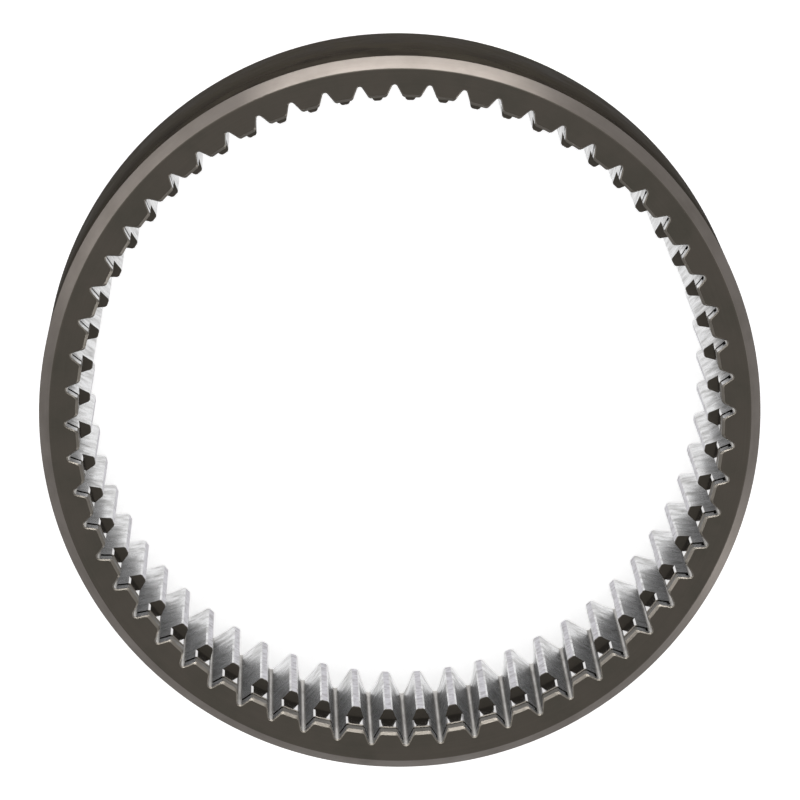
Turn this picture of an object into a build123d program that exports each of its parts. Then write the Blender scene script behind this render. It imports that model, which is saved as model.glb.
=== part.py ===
from build123d import *
import os
from math import acos, cos, pi, radians, sin, tan

# Internal ring gear, turned and shaped from one forging.
# Frame: millimetres, +Z along the gear's axis, origin at the centre of the back face.

# Teeth, spur, involute
module = 6.0
tooth_count = 60
pressure_angle = 25.0
tip_shortening = 0.5            # tips stay this far short of a full module
root_depth_factor = 1.25        # depth below the pitch circle, in modules

# Ring
rim_thickness = 15.0            # metal outside the tooth roots
ring_length = 138.0

# Outside edges
front_bevel_width = 6.0         # measured along the front face
front_bevel_length = 10.0       # measured along the axis
back_lead_width = 5.0
back_lead_length = 18.0

# Front end of the teeth, turned back to take a hub
hub_seat_length = 35.0          # front face to the ends of the full teeth
hub_seat_height = 5.8           # how much of each tooth is turned away there
hub_seat_bevel = 1.6
groove_setback = 10.5           # front face to the retaining ring groove
groove_width = 4.5
groove_depth = 5.7
groove_edge_bevel = 0.6

# Worked out from the sizes above
pitch_radius = module * tooth_count / 2
base_radius = pitch_radius * cos(radians(pressure_angle))
tip_radius = pitch_radius - module + tip_shortening
root_radius = pitch_radius + root_depth_factor * module
outer_radius = root_radius + rim_thickness
hub_seat_radius = tip_radius + hub_seat_height
groove_radius = hub_seat_radius + groove_depth
tooth_end_z = ring_length - hub_seat_length
groove_front_z = ring_length - groove_setback
groove_back_z = groove_front_z - groove_width
cutter_overrun = 2.0            # how far a cutting shape runs past the metal


def involute_roll(radius):
    """Angle that the involute has turned through at a radius."""
    slope = acos(base_radius / radius)
    return tan(slope) - slope


def space_half_angle(radius):
    """Half the angle of a tooth space at a radius, a quarter of a pitch on the pitch circle."""
    at_pitch = pi / (2 * tooth_count)
    return at_pitch + involute_roll(pitch_radius) - involute_roll(radius)


def flank_point(radius, side):
    """Point of a space's flank at a radius, on the side given by +1 or -1."""
    angle = side * space_half_angle(radius)
    return radius * cos(angle), radius * sin(angle)


def root_reach(radius):
    """How far out a round that touches both flanks at a radius reaches, and its centre is on +X."""
    lean = acos(base_radius / radius)
    turn = lean - space_half_angle(radius)
    centre = base_radius / cos(turn)
    return centre + base_radius * (tan(lean) - tan(turn))


def root_touch_radius():
    """Radius where the flanks run into the full round at the root, found by halving."""
    low, high = pitch_radius, root_radius
    for _ in range(50):
        middle = (low + high) / 2
        if root_reach(middle) < root_radius:
            low = middle
        else:
            high = middle
    return low


def tooth_space():
    """Everything that one tooth space removes, on +X, past both faces."""
    mouth = max(tip_radius - cutter_overrun, (tip_radius + base_radius) / 2)
    touch = root_touch_radius()
    stations = (mouth, (mouth + touch) / 2, touch)
    upper = [flank_point(radius, 1) for radius in stations]
    lower = [flank_point(radius, -1) for radius in stations]
    with BuildSketch(Plane.XY.offset(-cutter_overrun)) as sketch:
        with BuildLine():
            ThreePointArc(*upper)
            ThreePointArc(upper[2], (root_radius, 0), lower[2])
            ThreePointArc(*lower)
            Line(lower[0], upper[0])
        make_face()
    return extrude(sketch.sketch, ring_length + 2 * cutter_overrun)


def blank():
    """The turned ring before its teeth are shaped."""
    section = [
        (tip_radius, 0),
        (outer_radius - back_lead_width, 0),
        (outer_radius, back_lead_length),
        (outer_radius, ring_length - front_bevel_length),
        (outer_radius - front_bevel_width, ring_length),
        (hub_seat_radius + hub_seat_bevel, ring_length),
        (hub_seat_radius, ring_length - hub_seat_bevel),
        (hub_seat_radius, groove_front_z),
        (groove_radius, groove_front_z),
        (groove_radius, groove_back_z),
        (hub_seat_radius + groove_edge_bevel, groove_back_z),
        (hub_seat_radius, groove_back_z - groove_edge_bevel),
        (hub_seat_radius, tooth_end_z),
        (tip_radius, tooth_end_z),
    ]
    with BuildSketch(Plane.XZ) as sketch:
        with BuildLine():
            Polyline(*section, close=True)
        make_face()
    return revolve(sketch.sketch, Axis.Z)


def ring_gear():
    """The finished gear."""
    cutter = tooth_space()
    spaces = [place * cutter for place in PolarLocations(0, tooth_count)]
    return blank() - spaces


os.makedirs("parts", exist_ok=True)
export_step(ring_gear(), "parts/ring_gear.step")
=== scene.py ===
"""Finishes the internal ring gear: its machined surfaces, broken edges, floor, light and camera.

Run as a script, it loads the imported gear, puts a finer surface in the place of its solid, and
sets it on a pale floor. Everything is in metres, +Z along the gear's axis, back face on the floor.
"""

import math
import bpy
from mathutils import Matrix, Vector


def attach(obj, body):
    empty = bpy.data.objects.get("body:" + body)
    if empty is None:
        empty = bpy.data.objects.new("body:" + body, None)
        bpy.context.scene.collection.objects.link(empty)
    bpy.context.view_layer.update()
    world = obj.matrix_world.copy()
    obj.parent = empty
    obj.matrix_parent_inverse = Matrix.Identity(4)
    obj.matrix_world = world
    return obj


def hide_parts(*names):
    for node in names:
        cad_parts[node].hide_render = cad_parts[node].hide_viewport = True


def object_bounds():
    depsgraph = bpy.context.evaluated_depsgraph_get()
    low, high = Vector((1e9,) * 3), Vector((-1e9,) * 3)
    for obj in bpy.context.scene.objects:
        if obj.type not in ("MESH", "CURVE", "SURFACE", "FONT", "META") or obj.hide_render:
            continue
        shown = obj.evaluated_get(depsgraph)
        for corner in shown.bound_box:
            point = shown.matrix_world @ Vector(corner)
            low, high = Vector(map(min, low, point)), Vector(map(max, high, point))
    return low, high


bl_info = {
    "name": "Internal ring gear",
    "version": (1, 0, 0),
    "blender": (4, 5, 0),
    "location": "3D View > Sidebar > Ring gear",
    "description": "Builds the machined surfaces of an internal ring gear and its studio",
    "category": "Object",
}

import bmesh
import bpy
import numpy as np
from bpy.props import (FloatProperty, FloatVectorProperty, IntProperty, PointerProperty,
                       StringProperty)
from mathutils import Matrix, Vector

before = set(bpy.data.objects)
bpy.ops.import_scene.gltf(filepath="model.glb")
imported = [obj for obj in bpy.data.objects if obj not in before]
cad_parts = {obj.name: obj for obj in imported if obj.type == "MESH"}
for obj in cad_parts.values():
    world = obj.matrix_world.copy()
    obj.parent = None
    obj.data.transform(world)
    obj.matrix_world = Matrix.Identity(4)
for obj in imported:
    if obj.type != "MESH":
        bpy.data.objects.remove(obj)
CAD_LOW, CAD_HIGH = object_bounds()
MM = 0.001

# Finishes in the order of the ring's material slots
FACE, OUTSIDE, BEVEL, FLANK, LAND, SEAT, GROOVE, EDGE, ROOT = range(9)

# Grid of one tooth pitch
LAND_POINTS = 4                     # from the middle of a tooth to its long edge
ROUND_POINTS = 9                    # round the root, both ends counted
ROUND_SEARCH_POINTS = 20001         # tried along the flank for where the root's round begins
RIM_MARGIN = 0.8 * MM               # tooth spaces to the first plain circle on a face

# Cleaning of a mesh
SAME_POINT = 2e-6
TINY = 1e-6                         # lengths under this count as none
SHARP_ANGLE = math.radians(28)

# Floor
FLOOR_RADII = (0.0, 0.5, 2.0, 8.0, 30.0)
FLOOR_POINTS = 97
FLOOR_GAP = 0.1 * MM                # the floor lies this far under the back face

# Sockets of a Mix node, whose names repeat: its factor, and A and B as numbers and as colours
FACTOR, NUMBER_A, NUMBER_B, COLOUR_A, COLOUR_B = 0, 2, 3, 6, 7


def length(name, description, default_mm):
    """A size that a user would change, stored in metres and written here in millimetres."""
    return FloatProperty(name=name, description=description, default=default_mm * MM, min=0.0,
                         unit="LENGTH", subtype="DISTANCE", precision=5)


def colour(name, description, default):
    """A finish's colour, as an sRGB hex value."""
    return StringProperty(name=name, description=description, default=default)


def linear(hex_value):
    """sRGB hex to a linear RGBA colour."""
    parts = np.array([int(hex_value[i:i + 2], 16) / 255 for i in (1, 3, 5)])
    low, high = parts / 12.92, ((parts + 0.055) / 1.055) ** 2.4
    return (*np.where(parts <= 0.04045, low, high).tolist(), 1.0)


class RingGearSizes(bpy.types.PropertyGroup):
    """The gear's sizes, the same as its solid's, and the bevels that only show close up."""

    tooth_count: IntProperty(name="Teeth", description="Number of internal teeth", default=60,
                             min=20)
    module: length("Module", "Pitch diameter for each tooth", 6.0)
    pressure_angle: FloatProperty(name="Pressure angle",
                                  description="Slope of the flanks on the pitch circle",
                                  default=math.radians(25), subtype="ANGLE", unit="ROTATION")
    tip_shortening: length("Tip shortening", "How far the tips stay short of a full module", 0.5)
    root_depth: length("Root depth", "Depth of the tooth spaces below the pitch circle", 7.5)
    outer_radius: FloatProperty(name="Outside radius", description="Radius of the turned outside",
                                default=min(-CAD_LOW.x, -CAD_LOW.y, CAD_HIGH.x, CAD_HIGH.y),
                                unit="LENGTH", subtype="DISTANCE", precision=5)
    ring_length: FloatProperty(name="Length", description="Back face to front face",
                               default=CAD_HIGH.z - CAD_LOW.z, unit="LENGTH", subtype="DISTANCE",
                               precision=5)
    bevel_width: length("Front bevel width", "Outer bevel, measured along the front face", 6.0)
    bevel_length: length("Front bevel length", "Outer bevel, measured along the axis", 10.0)
    lead_width: length("Back lead width", "Lead at the back, measured along the face", 5.0)
    lead_length: length("Back lead length", "Lead at the back, measured along the axis", 18.0)
    seat_length: length("Hub seat length", "Front face to the ends of the full teeth", 35.0)
    seat_height: length("Hub seat height", "Height turned off each tooth at the front", 5.8)
    seat_bevel: length("Hub seat bevel", "Bevel of the hub seat at the front face", 1.6)
    groove_setback: length("Groove setback", "Front face to the retaining ring groove", 10.5)
    groove_width: length("Groove width", "Width of the retaining ring groove", 4.5)
    groove_depth: length("Groove depth", "Depth of the groove below the hub seat", 5.7)
    groove_bevel: length("Groove bevel", "Bevel of the groove's rear edge", 0.6)
    space_bevel: length("Tooth space bevel", "Bevel of the tooth spaces on both faces", 0.7)
    tip_edge: length("Tooth tip edge", "Bevel of the teeth's long edges", 0.7)
    broken_edge: length("Broken edge", "Bevel of turned corners", 0.35)


class RingGearFinish(bpy.types.PropertyGroup):
    """Colours of the gear's finishes."""

    face: colour("Turned faces", "Dark turned steel of the end faces", "#403A32")
    face_stain: colour("Face stains", "Brown-green mottling on the dark steel", "#37352C")
    outside: colour("Outside", "Dark turned steel round the outside", "#3E3933")
    bevel: colour("Outer bevel", "Bare turned steel of the outer bevel", "#6E6863")
    flank: colour("Tooth flanks", "Bare shaped steel", "#ECECED")
    flank_stain: colour("Flank stains", "Oil and heat stains on the flanks", "#6B6761")
    root: colour("Tooth roots", "Bare shaped steel of the rounded roots", "#C9C6C2")
    land: colour("Tooth lands", "Bare turned steel of the tooth tips", "#D6D4DA")
    seat: colour("Hub seat", "Ground steel of the hub seat", "#D6D4D4")
    # Painted shade: the groove's recess is coloured almost black
    groove: colour("Groove", "Dark steel of the retaining ring groove", "#262321")
    edge: colour("Edges", "Filed steel of the broken edges", "#78736C")


class RingGearStudio(bpy.types.PropertyGroup):
    """Floor, light and camera."""

    floor_colour: colour("Floor", "Pale floor", "#F4F4F4")
    floor_glow: FloatProperty(name="Floor glow",
                              description="Brightness added to the floor where it is seen",
                              default=0.6, min=0.0, max=1.0)
    # Painted shade between the teeth: each further reflection of the floor and sky keeps only this
    # share of their light
    painted_bounce_shade: FloatProperty(name="Bounce dimming",
                                  description="Light that is left of each further reflection",
                                  default=0.27, min=0.0, max=1.0)
    sky_level: FloatProperty(name="Sky level",
                             description="Strength of the even light from all round", default=0.9)
    key_level: FloatProperty(name="Key level", description="Power of the large soft lamp",
                             default=50.0, unit="POWER")
    camera_target: FloatVectorProperty(name="Camera target",
                                       description="Point that the camera looks at",
                                       default=(0.0008, -0.0019, 0.069), subtype="XYZ",
                                       unit="LENGTH")
    camera_distance: FloatProperty(name="Camera distance", description="Camera to its target",
                                   default=3.811, unit="LENGTH")
    camera_azimuth: FloatProperty(name="Camera azimuth",
                                  description="Turn of the camera round the gear's axis",
                                  default=math.radians(179.148), subtype="ANGLE",
                                  unit="ROTATION")
    camera_elevation: FloatProperty(name="Camera elevation",
                                    description="Height of the camera above the horizon",
                                    default=math.radians(80.241), subtype="ANGLE",
                                    unit="ROTATION")
    camera_roll: FloatProperty(name="Camera roll",
                               description="Turn of the camera about its own line of sight",
                               default=math.radians(-173.792), subtype="ANGLE",
                               unit="ROTATION")
    camera_lens: FloatProperty(name="Camera lens",
                               description="Focal length in mm on a 36 mm sensor", default=301.06)


# Shape of the ring ---------------------------------------------------------------------------

class ToothForm:
    """Numbers that every section of the teeth shares."""

    def __init__(self, sizes):
        self.count = sizes.tooth_count
        self.pitch_angle = 2 * math.pi / sizes.tooth_count
        self.pitch_radius = sizes.module * sizes.tooth_count / 2
        self.base_radius = self.pitch_radius * math.cos(sizes.pressure_angle)
        self.tip_radius = self.pitch_radius - sizes.module + sizes.tip_shortening
        self.root_radius = self.pitch_radius + sizes.root_depth
        self.seat_radius = self.tip_radius + sizes.seat_height
        self.groove_radius = self.seat_radius + sizes.groove_depth
        self.tip_edge = sizes.tip_edge
        self.touch_string, self.root_centre, self.root_round = self.full_round()

    def string(self, radius):
        """Length of string unwound from the base circle where the involute reaches a radius."""
        return np.sqrt(np.maximum(np.square(radius) - self.base_radius ** 2, 0))

    def half_angle(self, string, growth):
        """Half the angle of a tooth space: a quarter pitch on the pitch circle, less what the
        involute has turned since there, plus growth unwound from the base circle."""
        at_pitch = self.string(self.pitch_radius) / self.base_radius
        turned = (string / self.base_radius - np.arctan(string / self.base_radius)
                  - at_pitch + math.atan(at_pitch))
        return self.pitch_angle / 4 - turned + growth / self.base_radius

    def full_round(self):
        """String length, centre and radius of the round at the root that both flanks touch: of
        many rounds that touch both, the one whose far side lies on the root circle."""
        strings = np.linspace(self.string(self.pitch_radius), self.string(self.root_radius),
                              ROUND_SEARCH_POINTS)
        turn = np.arctan(strings / self.base_radius) - self.half_angle(strings, 0)
        centre = self.base_radius / np.cos(turn)
        round_radius = strings - self.base_radius * np.tan(turn)
        best = np.argmin(np.abs(centre + round_radius - self.root_radius))
        return strings[best], centre[best], round_radius[best]


def tooth_pitch(form, land, growth, stations):
    """Radius and angle of the tooth outline over one pitch, a row for each land radius.

    From the middle of one tooth to the middle of the next: along the land, over the long edge's
    bevel, down the flank, round the root and back up. A flank point stands at the angle of the
    involute for its string length, and no point of it comes nearer the axis than the land.
    """
    edge = form.tip_edge
    string = np.maximum(form.string(stations)[None] + growth, form.string(land + edge))
    flank_radius = np.hypot(string, form.base_radius)
    flank_angle = form.half_angle(string, growth)
    land_edge = form.half_angle(form.string(land), growth) + edge / land
    share = np.linspace(0, 1, LAND_POINTS)[None]
    land_angle = form.pitch_angle / 2 * (1 - share) + land_edge * share
    land_radius = np.broadcast_to(land, land_angle.shape)
    half_turn = math.pi / 2 - math.acos(form.base_radius / form.root_centre)
    swing = np.linspace(half_turn, -half_turn, ROUND_POINTS)[None, 1:-1]
    x = form.root_centre + (form.root_round + growth) * np.cos(swing)
    y = (form.root_round + growth) * np.sin(swing)
    radius = np.hstack([land_radius, flank_radius, np.hypot(x, y), flank_radius[:, ::-1],
                        land_radius[:, :0:-1]])
    angle = np.hstack([-land_angle, -flank_angle, -np.arctan2(y, x), flank_angle[:, ::-1],
                       land_angle[:, :0:-1]])
    return radius, angle


def ring_rows(form, sizes, stations):
    """The turned section as rows of (radius, height, growth, is a plain circle, finish of the
    strip that follows), along the inside from back to front, then over the outside and back."""
    end = sizes.ring_length
    step = end - sizes.seat_length
    groove_front = end - sizes.groove_setback
    groove_back = groove_front - sizes.groove_width
    edge, space_bevel = sizes.broken_edge, sizes.space_bevel
    tip, seat, groove = form.tip_radius, form.seat_radius, form.groove_radius
    outer = sizes.outer_radius
    mouth = outer - sizes.bevel_width
    foot = outer - sizes.lead_width
    rim = form.root_radius + space_bevel + RIM_MARGIN
    lands = stations - form.tip_edge

    def wall(low, high, height, finish):
        """Rows up a flat wall, one at each station's land that lies between its edges."""
        between = [r for r in lands if low + TINY < r < high - TINY]
        return [(r, height, 0, False, finish) for r in between]

    rows = [(tip + space_bevel, 0, space_bevel, False, EDGE),
            (tip, space_bevel, 0, False, LAND),
            (tip, step - edge, 0, False, EDGE),
            (tip + edge, step, 0, False, FACE)]
    rows += wall(tip + edge, seat, step, FACE)
    rows += [(seat, step, 0, False, SEAT),
             (seat, groove_back - sizes.groove_bevel, 0, False, EDGE),
             (seat + sizes.groove_bevel, groove_back, 0, False, GROOVE)]
    rows += wall(seat + sizes.groove_bevel, groove, groove_back, GROOVE)
    rows += [(groove, groove_back, 0, False, GROOVE),
             (groove, groove_front, 0, False, GROOVE)]
    rows += wall(seat, groove, groove_front, GROOVE)[::-1]
    rows += [(seat, groove_front, 0, False, FACE),
             (seat, end - sizes.seat_bevel, 0, False, EDGE),
             (seat + sizes.seat_bevel - space_bevel, end - space_bevel, 0, False, EDGE),
             (seat + sizes.seat_bevel, end, space_bevel, False, FACE)]
    slope = math.hypot(sizes.bevel_width, sizes.bevel_length)
    over = edge * sizes.bevel_width / slope, edge * sizes.bevel_length / slope
    rows += [(rim, end, 0, True, FACE),
             (mouth - edge, end, 0, True, FACE),
             (mouth + over[0], end - over[1], 0, True, BEVEL),
             (outer - over[0], end - sizes.bevel_length + over[1], 0, True, BEVEL),
             (outer, end - sizes.bevel_length - edge, 0, True, OUTSIDE),
             (outer, sizes.lead_length, 0, True, OUTSIDE),
             (foot, 0, 0, True, FACE),
             (rim, 0, 0, True, FACE)]
    return rows


def ring_surface(sizes):
    """Points, quads and finishes of the whole ring: a closed grid of the turned section by the
    tooth outline, every row of it a full turn about the axis."""
    form = ToothForm(sizes)
    corners = [form.tip_radius, form.tip_radius + sizes.broken_edge,
               form.tip_radius + sizes.seat_height / 2, form.seat_radius,
               form.seat_radius + sizes.groove_bevel, form.seat_radius + sizes.seat_bevel,
               (form.seat_radius + form.groove_radius) / 2, form.groove_radius]
    touch = math.hypot(form.touch_string, form.base_radius)
    stations = np.array([*[c + form.tip_edge for c in corners], touch])
    rows = ring_rows(form, sizes, stations)
    land, height, growth, circle, strip = (np.array(column)[:, None] for column in zip(*rows))

    radius, angle = tooth_pitch(form, np.where(circle, form.tip_radius, land), growth, stations)
    radius = np.where(circle, land, radius)
    turns = np.arange(form.count) * form.pitch_angle
    angle = (angle[:, None, :] + turns[None, :, None]).reshape(len(rows), -1)
    radius = np.tile(radius, (1, form.count))
    points = np.stack([radius * np.cos(angle), radius * np.sin(angle),
                       np.broadcast_to(height + CAD_LOW.z, radius.shape)], axis=-1)

    row_count, column_count = radius.shape
    row = np.arange(row_count)[:, None]
    column = np.arange(column_count)[None]
    next_row, next_column = (row + 1) % row_count, (column + 1) % column_count
    quads = np.stack([row * column_count + column, next_row * column_count + column,
                      next_row * column_count + next_column, row * column_count + next_column],
                     axis=-1)

    # Finish of each strip over one pitch, EDGE for the bevel of a tooth's long edge
    lands = [LAND] * (LAND_POINTS - 1)
    flank = [FLANK] * (len(stations) - 1)
    kind = np.array([*lands, EDGE, *flank, *[ROOT] * (ROUND_POINTS - 1), *flank, EDGE, *lands])
    kind = np.tile(kind, form.count)[None]
    toothed = ~(circle | np.roll(circle, -1, axis=0))
    flared = growth + np.roll(growth, -1, axis=0) > 0
    shaped = toothed & ~flared & (kind != LAND) & (kind != EDGE)
    finish = np.where(shaped, kind, strip)
    finish = np.where((kind == EDGE) & (strip == LAND), FLANK, finish)
    return points.reshape(-1, 3), quads.reshape(-1, 4), finish.ravel()


def mesh_from(name, points, quads, finishes):
    """A mesh of these quads, with points that fall together made one and flattened quads
    dropped."""
    mesh = bpy.data.meshes.new(name)
    mesh.vertices.add(len(points))
    mesh.vertices.foreach_set("co", points.astype(np.float32).ravel())
    mesh.loops.add(quads.size)
    mesh.loops.foreach_set("vertex_index", quads.astype(np.int32).ravel())
    mesh.polygons.add(len(quads))
    mesh.polygons.foreach_set("loop_start", np.arange(0, quads.size, 4, dtype=np.int32))
    mesh.polygons.foreach_set("material_index", finishes.astype(np.int32))
    mesh.update(calc_edges=True)
    work = bmesh.new()
    work.from_mesh(mesh)
    bmesh.ops.remove_doubles(work, verts=work.verts, dist=SAME_POINT)
    bmesh.ops.dissolve_degenerate(work, edges=work.edges, dist=TINY)
    bmesh.ops.recalc_face_normals(work, faces=work.faces)
    work.to_mesh(mesh)
    work.free()
    mesh.polygons.foreach_set("use_smooth", np.ones(len(mesh.polygons), dtype=bool))
    mesh.set_sharp_from_angle(angle=SHARP_ANGLE)
    return mesh


# Finishes ------------------------------------------------------------------------------------

def add(tree, kind, inputs=(), **settings):
    """Adds a node, with its settings, and with its inputs linked to sockets or set to values."""
    node = tree.nodes.new(kind)
    for key, value in settings.items():
        setattr(node, key, value)
    for key, value in dict(inputs).items():
        if isinstance(value, bpy.types.NodeSocket):
            tree.links.new(value, node.inputs[key])
        else:
            node.inputs[key].default_value = value
    return node


def new_material(name):
    """An empty node material and its tree."""
    material = bpy.data.materials.new(name)
    material.use_nodes = True
    material.node_tree.nodes.clear()
    return material, material.node_tree


def steel_surface(name, base, stain, *, roughness, marks, stain_amount, across, grazing=1.0,
                  marks_depth=0.25, marks_shade=0.1, patch=26.0, turned_sheen=0.0, bare=1.0):
    """Machined steel: cutter marks at a set spacing, patchy stain and a gloss that varies.

    marks is the spacing of the cutter marks and patch the width of the stains, in millimetres.
    across says which way the marks repeat: radius for a turned face, height for a turned
    cylinder. grazing tints what is seen at a low angle, marks_depth and marks_shade are the
    strength of the marks' relief and shade, turned_sheen stretches highlights across the marks,
    and bare is the share of metal that shows through a dark skin.
    """
    material, tree = new_material(name)
    place = add(tree, "ShaderNodeTexCoord").outputs["Object"]
    parts = add(tree, "ShaderNodeSeparateXYZ", {"Vector": place})
    flat = add(tree, "ShaderNodeCombineXYZ", {"X": parts.outputs["X"], "Y": parts.outputs["Y"]})
    radius = add(tree, "ShaderNodeVectorMath", {0: flat.outputs[0]}, operation="LENGTH")
    turn = add(tree, "ShaderNodeMath", {0: parts.outputs["Y"], 1: parts.outputs["X"]},
               operation="ARCTAN2")
    run = radius.outputs["Value"] if across == "radius" else parts.outputs["Z"]
    # Cutter marks: fine lines across the cut, broken up slowly along it, 3 times a radian
    lines_at = add(tree, "ShaderNodeCombineXYZ", {"X": run, "Y": turn.outputs[0]})
    stretched = add(tree, "ShaderNodeVectorMath",
                    {0: lines_at.outputs[0], 1: (1 / (marks * MM), 3.0, 0)}, operation="MULTIPLY")
    lines = add(tree, "ShaderNodeTexNoise", {"Vector": stretched.outputs[0], "Scale": 1.0,
                                             "Detail": 3.0, "Roughness": 0.6})
    # Stain: wide patches with smaller ones in them
    patches = add(tree, "ShaderNodeTexNoise", {"Vector": place, "Scale": 1 / (patch * MM),
                                               "Detail": 5.0, "Roughness": 0.62})
    patch_share = add(tree, "ShaderNodeMapRange",
                      {"Value": patches.outputs[0], "From Min": 0.42, "From Max": 0.68,
                       "To Min": 0.0, "To Max": stain_amount})
    tint = add(tree, "ShaderNodeMix",
               {FACTOR: patch_share.outputs[0], COLOUR_A: base, COLOUR_B: stain},
               data_type="RGBA")
    shade = add(tree, "ShaderNodeMapRange",
                {"Value": lines.outputs[0], "From Min": 0.3, "From Max": 0.7,
                 "To Min": 1 - marks_shade, "To Max": 1 + marks_shade})
    tinted = add(tree, "ShaderNodeVectorMath", {0: tint.outputs[2], 1: shade.outputs[0]},
                 operation="MULTIPLY")
    gloss = add(tree, "ShaderNodeMapRange",
                {"Value": patches.outputs[0], "From Min": 0.3, "From Max": 0.7,
                 "To Min": roughness * 0.85, "To Max": min(roughness * 1.25, 1.0)})
    bump = add(tree, "ShaderNodeBump", {"Strength": marks_depth, "Distance": 0.02 * MM,
                                        "Height": lines.outputs[0]})
    shader = add(tree, "ShaderNodeBsdfPrincipled",
                 {"Base Color": tinted.outputs[0], "Metallic": bare,
                  "Roughness": gloss.outputs[0], "Normal": bump.outputs[0],
                  "Specular Tint": (grazing, grazing, grazing, 1.0)})
    if turned_sheen:
        tangent = add(tree, "ShaderNodeTangent", direction_type="RADIAL", axis="Z")
        tree.links.new(tangent.outputs[0], shader.inputs["Tangent"])
        shader.inputs["Anisotropic"].default_value = turned_sheen
        # A quarter turn, so that the sheen runs across the marks
        shader.inputs["Anisotropic Rotation"].default_value = 0.25
    add(tree, "ShaderNodeOutputMaterial", {0: shader.outputs[0]})
    return material


def ring_finishes(finish):
    """The ring's materials in the order of its slots.

    A turning feed of 0.2 to 0.4 mm is too fine to show, so marks are drawn about 1 mm apart.
    """
    dark = linear(finish.face_stain)
    smudge = linear(finish.flank_stain)
    return [
        # Heat-darkened and turned: a dull brown-grey with faint rings about the axis
        steel_surface("turned_dark_steel_face", linear(finish.face), dark, roughness=0.5,
                      marks=1.1, stain_amount=0.5, across="radius", marks_shade=0.05, bare=0.4),
        # The same dark skin, with rings stacked along the axis; its grazing reflection is tinted
        # down to 0.12, a painted dark reflection that keeps it dark edge on
        steel_surface("turned_dark_steel_outside_painted_dark_reflection", linear(finish.outside), dark, roughness=0.5,
                      marks=1.1, stain_amount=0.4, across="height", grazing=0.12,
                      marks_shade=0.05),
        # Cut last and left bare: a mid grey band whose sheen fans out where a lamp crosses the
        # rings
        steel_surface("turned_bare_steel_bevel", linear(finish.bevel), dark, roughness=0.42,
                      marks=0.9, stain_amount=0.15, across="radius", grazing=0.8,
                      marks_shade=0.04, turned_sheen=0.8),
        # Shaped along the tooth and left bare: a bright satin with faint streaks, and oil marks
        # about 9 mm across
        steel_surface("shaped_bare_steel_flank", linear(finish.flank), smudge, roughness=0.26,
                      marks=0.8, stain_amount=0.65, across="radius", grazing=0.9,
                      marks_depth=0.07, marks_shade=0.03, patch=9.0),
        # Bored before the teeth were cut: satin bright, with marks about 5 mm across
        steel_surface("turned_bare_steel_land", linear(finish.land), smudge, roughness=0.35,
                      marks=1.2, stain_amount=0.5, across="height", grazing=0.8, patch=5.0),
        # Ground to take the hub: close to a mirror, so it shows the dark ends of the teeth again
        steel_surface("ground_steel_hub_seat", linear(finish.seat), smudge, roughness=0.1,
                      marks=1.2, stain_amount=0.1, across="height", marks_depth=0.1),
        # Almost black, with a dim grazing reflection: painted shade in the groove's recess, a
        # clean dark line under the front face
        steel_surface("groove_painted_shade_steel", linear(finish.groove), dark, roughness=0.6,
                      marks=0.9, stain_amount=0.3, across="height", grazing=0.3),
        # Filed by hand: a thin dull line that parts bright flanks from dark faces
        steel_surface("filed_steel_edge", linear(finish.edge), smudge, roughness=0.4, marks=0.9,
                      stain_amount=0.2, across="radius", grazing=0.8),
        # Left by the cutter's rounded tip: softer than the flanks, a pale band down each space
        steel_surface("shaped_bare_steel_root", linear(finish.root), smudge, roughness=0.45,
                      marks=0.8, stain_amount=0.4, across="radius", grazing=0.9),
    ]


class RINGGEAR_OT_ring(bpy.types.Operator):
    """Build the ring's machined surface in the place of its solid"""

    bl_idname = "ringgear.ring"
    bl_label = "Build the ring"

    def execute(self, context):
        points, quads, finishes = ring_surface(context.scene.ring_gear_sizes)
        mesh = mesh_from("machined_ring", points, quads, finishes)
        for material in ring_finishes(context.scene.ring_gear_finish):
            mesh.materials.append(material)
        ring = bpy.data.objects.new("machined_ring", mesh)
        context.scene.collection.objects.link(ring)
        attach(ring, "root")
        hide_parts("ring_gear")
        return {"FINISHED"}


# Studio --------------------------------------------------------------------------------------

def white_dimmed_by_painted_bounce_shade(tree, dimming):
    """The light path, and 1 for reflected rays, times dimming for each further reflection, which
    paints shade between the teeth, or 0 for rays that aren't reflected."""
    path = add(tree, "ShaderNodeLightPath")
    further = add(tree, "ShaderNodeMath", {0: path.outputs["Glossy Depth"], 1: 1.0},
                  operation="SUBTRACT")
    held = add(tree, "ShaderNodeMath", {0: further.outputs[0], 1: 0.0}, operation="MAXIMUM")
    kept = add(tree, "ShaderNodeMath", {0: dimming, 1: held.outputs[0]}, operation="POWER")
    glossy = add(tree, "ShaderNodeMath", {0: kept.outputs[0], 1: path.outputs["Is Glossy Ray"]},
                 operation="MULTIPLY")
    return path, glossy.outputs[0]


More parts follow.
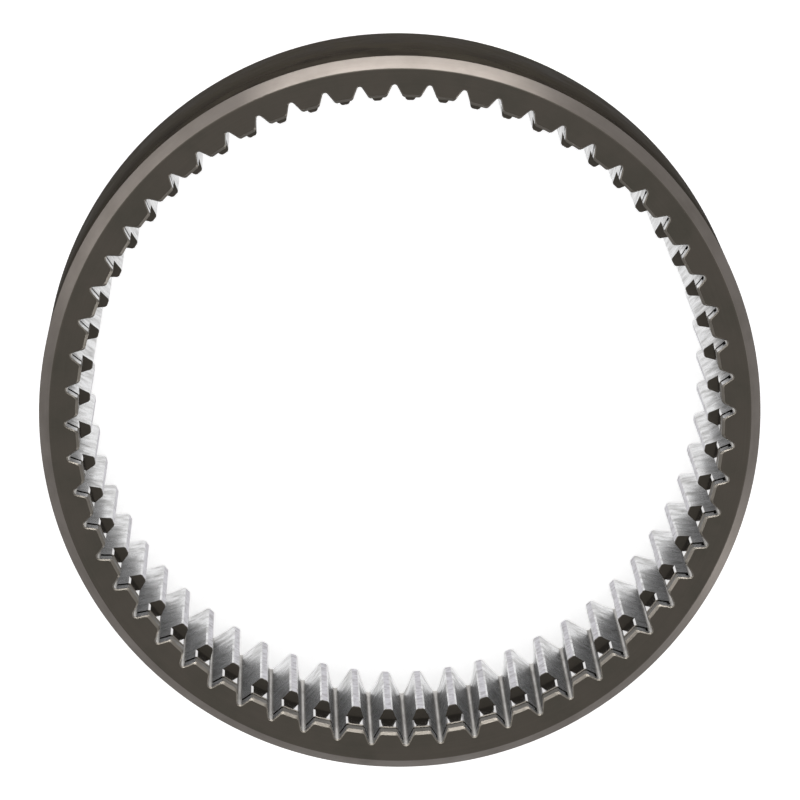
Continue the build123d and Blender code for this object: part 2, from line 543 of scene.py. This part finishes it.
def make_floor(studio):
    """A flat disc far wider than the gear, a circle swept from its middle, white where it is
    seen."""
    rings, spokes = len(FLOOR_RADII), FLOOR_POINTS
    radius = np.array(FLOOR_RADII)[:, None]
    angle = np.linspace(0, 2 * math.pi, spokes)[None]
    height = np.full((rings, spokes), CAD_LOW.z - FLOOR_GAP)
    points = np.stack([radius * np.cos(angle), radius * np.sin(angle), height], axis=-1)
    row, column = np.arange(rings - 1)[:, None], np.arange(spokes - 1)[None]
    first = row * spokes + column
    quads = np.stack([first, first + spokes, first + spokes + 1, first + 1], axis=-1)
    quads = quads.reshape(-1, 4)
    mesh = mesh_from("pale_floor", points.reshape(-1, 3), quads, np.zeros(len(quads)))
    # Painted concrete: matt and even, so all that it shows is the gear's faint shadow
    material, tree = new_material("pale_painted_floor")
    paint = add(tree, "ShaderNodeBsdfPrincipled", {"Base Color": linear(studio.floor_colour),
                                                   "Roughness": 0.9})
    path, reflected = white_dimmed_by_painted_bounce_shade(tree, studio.painted_bounce_shade)
    seen = add(tree, "ShaderNodeMath", {0: path.outputs["Is Camera Ray"], 1: studio.floor_glow},
               operation="MULTIPLY")
    glow = add(tree, "ShaderNodeEmission", {"Strength": seen.outputs[0]})
    lit = add(tree, "ShaderNodeAddShader", {0: paint.outputs[0], 1: glow.outputs[0]})
    # Seen in the steel: white at the first reflection, dimmed at each further one as painted shade
    # between the teeth
    mirrored = add(tree, "ShaderNodeEmission", {"Strength": reflected})
    both = add(tree, "ShaderNodeMixShader", {0: path.outputs["Is Glossy Ray"],
                                             1: lit.outputs[0], 2: mirrored.outputs[0]})
    add(tree, "ShaderNodeOutputMaterial", {0: both.outputs[0]})
    mesh.materials.append(material)
    floor = bpy.data.objects.new("pale_floor", mesh)
    bpy.context.scene.collection.objects.link(floor)


def make_sky(studio):
    """Even soft light from all round, plain white where it is seen or first reflected, dimmed at
    each further reflection as painted shade between the teeth.
    """
    world = bpy.data.worlds.new("studio")
    world.use_nodes = True
    tree = world.node_tree
    tree.nodes.clear()
    path, reflected = white_dimmed_by_painted_bounce_shade(tree, studio.painted_bounce_shade)
    direct = add(tree, "ShaderNodeMapRange", {"Value": path.outputs["Is Camera Ray"],
                                              "To Min": studio.sky_level, "To Max": 1.0})
    level = add(tree, "ShaderNodeMix", {FACTOR: path.outputs["Is Glossy Ray"],
                                        NUMBER_A: direct.outputs[0], NUMBER_B: reflected})
    light = add(tree, "ShaderNodeBackground", {"Color": (1, 1, 1, 1),
                                               "Strength": level.outputs[0]})
    add(tree, "ShaderNodeOutputWorld", {0: light.outputs[0]})
    bpy.context.scene.world = world


def soft_lamp(name, power, azimuth, width, elevation=4.0, distance=1.6, height=0.35):
    """A rectangular soft lamp, low beside the gear, that looks at it from an azimuth and
    elevation in degrees. So low, it only reaches the bevels."""
    data = bpy.data.lights.new(name, "AREA")
    data.shape, data.size, data.size_y, data.energy = "RECTANGLE", width, height, power
    lamp = bpy.data.objects.new(name, data)
    a, e = math.radians(azimuth), math.radians(elevation)
    away = Vector((math.cos(a) * math.cos(e), math.sin(a) * math.cos(e), math.sin(e)))
    lamp.location = away * distance
    lamp.rotation_mode = "QUATERNION"
    lamp.rotation_quaternion = (-away).to_track_quat("-Z", "Y")
    bpy.context.scene.collection.objects.link(lamp)


def make_camera(studio):
    """Camera on a sphere round its target, rolled about its own line of sight."""
    azimuth, elevation = studio.camera_azimuth, studio.camera_elevation
    roll = studio.camera_roll
    back = Vector((math.sin(azimuth) * math.cos(elevation),
                   -math.cos(azimuth) * math.cos(elevation), math.sin(elevation)))
    level_up = (Vector((0, 0, 1)) - back * back.z).normalized()
    level_right = level_up.cross(back)
    up = level_up * math.cos(roll) + level_right * math.sin(roll)
    right = up.cross(back)
    data = bpy.data.cameras.new("camera")
    data.lens, data.sensor_width = studio.camera_lens, 36.0
    data.clip_start, data.clip_end = 0.1, 100.0
    camera = bpy.data.objects.new("camera", data)
    place = Vector(studio.camera_target) + back * studio.camera_distance
    turned = Matrix((right, up, back)).transposed().to_4x4()
    camera.matrix_world = Matrix.Translation(place) @ turned
    bpy.context.scene.collection.objects.link(camera)
    bpy.context.scene.camera = camera


class RINGGEAR_OT_studio(bpy.types.Operator):
    """Set the floor, light and camera"""

    bl_idname = "ringgear.studio"
    bl_label = "Set the studio"

    def execute(self, context):
        studio = context.scene.ring_gear_studio
        make_floor(studio)
        make_sky(studio)
        soft_lamp("key_lamp", studio.key_level, azimuth=83.0, width=1.5)
        soft_lamp("strip_lamp", studio.key_level * 0.12, azimuth=-39.0, width=0.35)
        soft_lamp("fill_lamp", studio.key_level * 0.2, azimuth=140.0, width=1.3)
        make_camera(studio)
        context.scene.view_settings.view_transform = "Standard"
        return {"FINISHED"}


class RINGGEAR_PT_panel(bpy.types.Panel):
    """Lists the gear's sizes, finishes and steps"""

    bl_idname = "RINGGEAR_PT_panel"
    bl_label = "Internal ring gear"
    bl_space_type = "VIEW_3D"
    bl_region_type = "UI"
    bl_category = "Ring gear"

    def draw(self, context):
        scene = context.scene
        for group in (scene.ring_gear_sizes, scene.ring_gear_finish, scene.ring_gear_studio):
            box = self.layout.box()
            for name in group.__annotations__:
                box.prop(group, name)
        for step in STEPS:
            self.layout.operator(step.bl_idname)


STEPS = (RINGGEAR_OT_ring, RINGGEAR_OT_studio)
CLASSES = (RingGearSizes, RingGearFinish, RingGearStudio, *STEPS, RINGGEAR_PT_panel)


def register():
    for each in CLASSES:
        bpy.utils.register_class(each)
    bpy.types.Scene.ring_gear_sizes = PointerProperty(type=RingGearSizes)
    bpy.types.Scene.ring_gear_finish = PointerProperty(type=RingGearFinish)
    bpy.types.Scene.ring_gear_studio = PointerProperty(type=RingGearStudio)


def unregister():
    del bpy.types.Scene.ring_gear_studio
    del bpy.types.Scene.ring_gear_finish
    del bpy.types.Scene.ring_gear_sizes
    for each in reversed(CLASSES):
        bpy.utils.unregister_class(each)


def main():
    """Builds the gear and its studio."""
    register()
    bpy.ops.ringgear.ring()
    bpy.ops.ringgear.studio()


if __name__ == "__main__":
    main()
